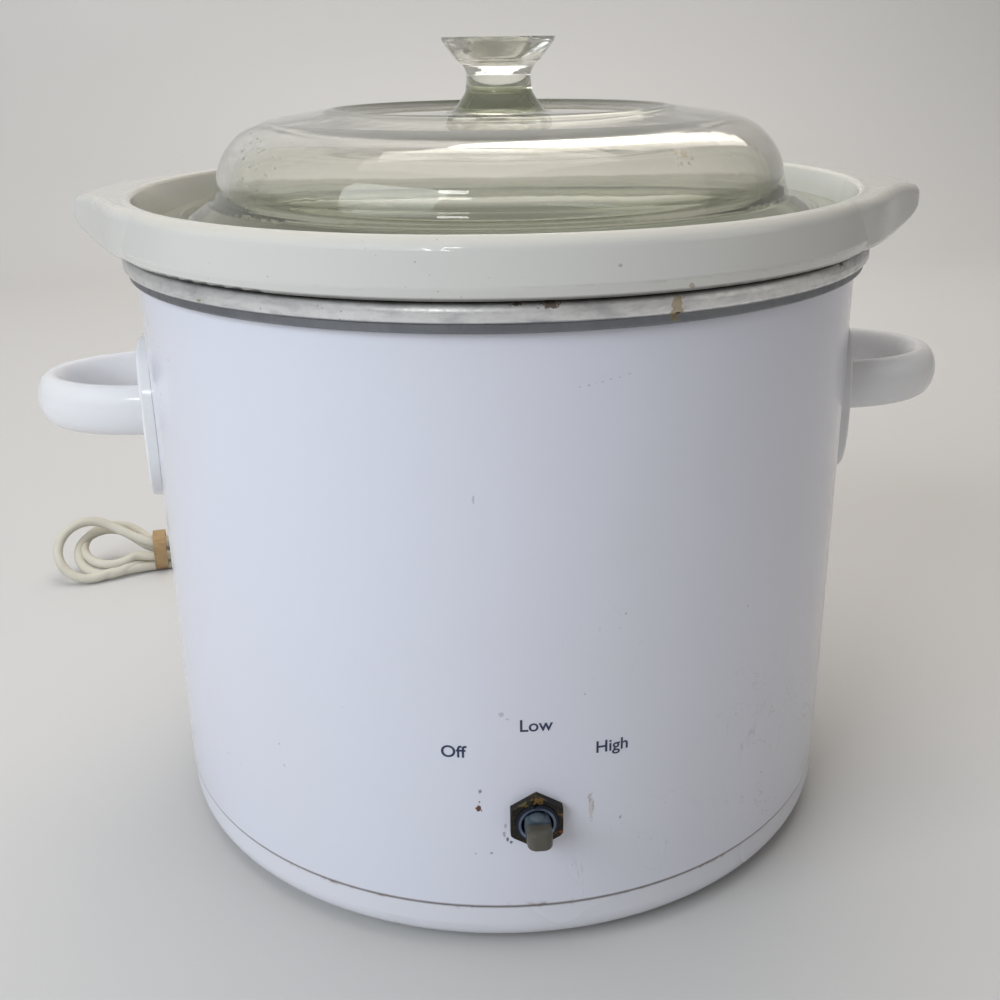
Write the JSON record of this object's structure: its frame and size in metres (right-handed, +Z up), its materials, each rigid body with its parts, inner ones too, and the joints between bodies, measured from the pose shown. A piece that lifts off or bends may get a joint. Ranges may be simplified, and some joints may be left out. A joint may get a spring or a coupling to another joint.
{
  "type": "slow cooker",
  "caption": "Round slow cooker with painted steel wrap, lift-out stoneware crock, domed glass lid, side handles and a toggle switch.",
  "frame": {"origin": "on the table under the middle of the cooker, at the feet's flat soles", "axes": "+Z up, -Y towards the user, where the switch is, +X along the handles"},
  "size_m": [0.3606, 0.3288, 0.2474],
  "materials": {
    "painted_steel": "gloss white enamel",
    "white_base": "semi-gloss white moulding",
    "white_handle": "gloss white moulding",
    "aluminium_band": "drawn and rolled, dulled",
    "heater_foil": "crinkled foil wrap",
    "plated_steel": "zinc plated",
    "rusty_nut": "darkened with rust",
    "blue_bushing": "blued plating",
    "switch_case": "moulded phenolic",
    "lever_plastic": "aged grey moulding",
    "brass_tabs": "tinned brass",
    "lead_cover": "glass-braid sleeving",
    "cord_cover": "white vinyl, yellowed",
    "tie_wrap": "tan paper twist tie",
    "foot_rubber": "soft moulding",
    "stoneware": "clear gloss glaze",
    "clear_glass": "pressed, clear"
  },
  "bodies": {
    "base_unit": {"base_pan": "white_base", "outer_shell": "painted_steel", "heating_well": "aluminium_band", "heater_band": "heater_foil", "heater_clamp": "plated_steel", "heater_tabs": "brass_tabs", "centre_stud": "plated_steel", "stud_washer": "plated_steel", "stud_nut": "plated_steel", "handle_left": "white_handle", "handle_right": "white_handle", "handle_screws": "plated_steel", "switch_body": "switch_case", "switch_bushing": "blue_bushing", "switch_washer": "plated_steel", "switch_nut": "rusty_nut", "switch_terminals": "brass_tabs", "lead_low": "lead_cover", "lead_high": "lead_cover", "lead_line": "lead_cover", "lead_neutral": "lead_cover", "strain_relief": "cord_cover", "power_cord": "cord_cover", "cord_hank": "cord_cover", "cord_tie": "tie_wrap", "plug_body": "cord_cover", "plug_blades": "plated_steel", "foot_front_left": "foot_rubber", "foot_front_right": "foot_rubber", "foot_rear_left": "foot_rubber", "foot_rear_right": "foot_rubber"},
    "lever": {"switch_lever": "lever_plastic"},
    "crock_pot": {"crock": "stoneware"},
    "glass_lid": {"lid": "clear_glass"}
  },
  "joints": [
    {"name": "lever_throw", "type": "hinge", "parent": "base_unit", "child": "lever", "pos_m": [0, -0.1154, 0.0457], "axis": [0, 0, 1], "range_deg": [-13, 13]},
    {"name": "crock_lift", "type": "slide", "parent": "base_unit", "child": "crock_pot", "axis": [0, 0, 1], "range_m": [0, 0.16]},
    {"name": "lid_lift", "type": "slide", "parent": "crock_pot", "child": "glass_lid", "axis": [0, 0, 1], "range_m": [0, 0.08]}
  ]
}
